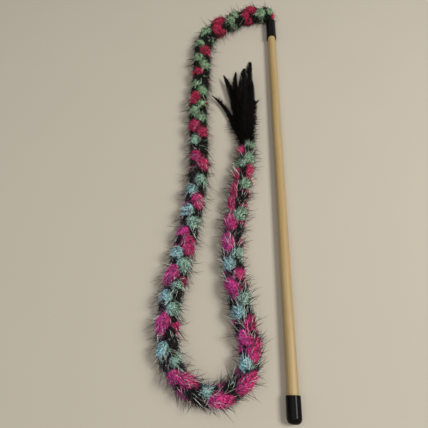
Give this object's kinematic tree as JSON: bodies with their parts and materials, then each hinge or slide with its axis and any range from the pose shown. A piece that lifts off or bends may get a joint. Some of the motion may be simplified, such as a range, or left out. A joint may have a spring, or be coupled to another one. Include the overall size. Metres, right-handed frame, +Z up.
{
  "type": "cat teaser wand",
  "caption": "Wooden rod with a soft cap at each end and a long fluffy plaited rope from its tip, which ends in a bunch of dark feathers. A hand-held toy for playing with a cat.",
  "frame": {"origin": "on the surface that the wand lies on, under the middle of the rod with its two caps", "axes": "+Y along the rod from its grip to its tip, +Z up from the surface, and the rope lies on the -X side"},
  "size_m": [0.1206, 0.4904, 0.0221],
  "materials": {
    "rod_wood": "plain sanded",
    "cap_vinyl": "glossy soft vinyl",
    "rope_yarn": "fluffy eyelash yarn",
    "binding_thread": "waxed thread",
    "feather": "glossy feather"
  },
  "bodies": {
    "root": {"rod": "rod_wood", "grip_cap": "cap_vinyl", "tip_cap": "cap_vinyl", "tail_knot": "rope_yarn", "rope": "rope_yarn", "quill_binding": "binding_thread", "feather_01": "feather", "feather_02": "feather", "feather_03": "feather", "feather_04": "feather", "feather_05": "feather", "feather_06": "feather", "feather_07": "feather", "feather_08": "feather", "feather_09": "feather", "feather_10": "feather"}
  },
  "joints": []
}
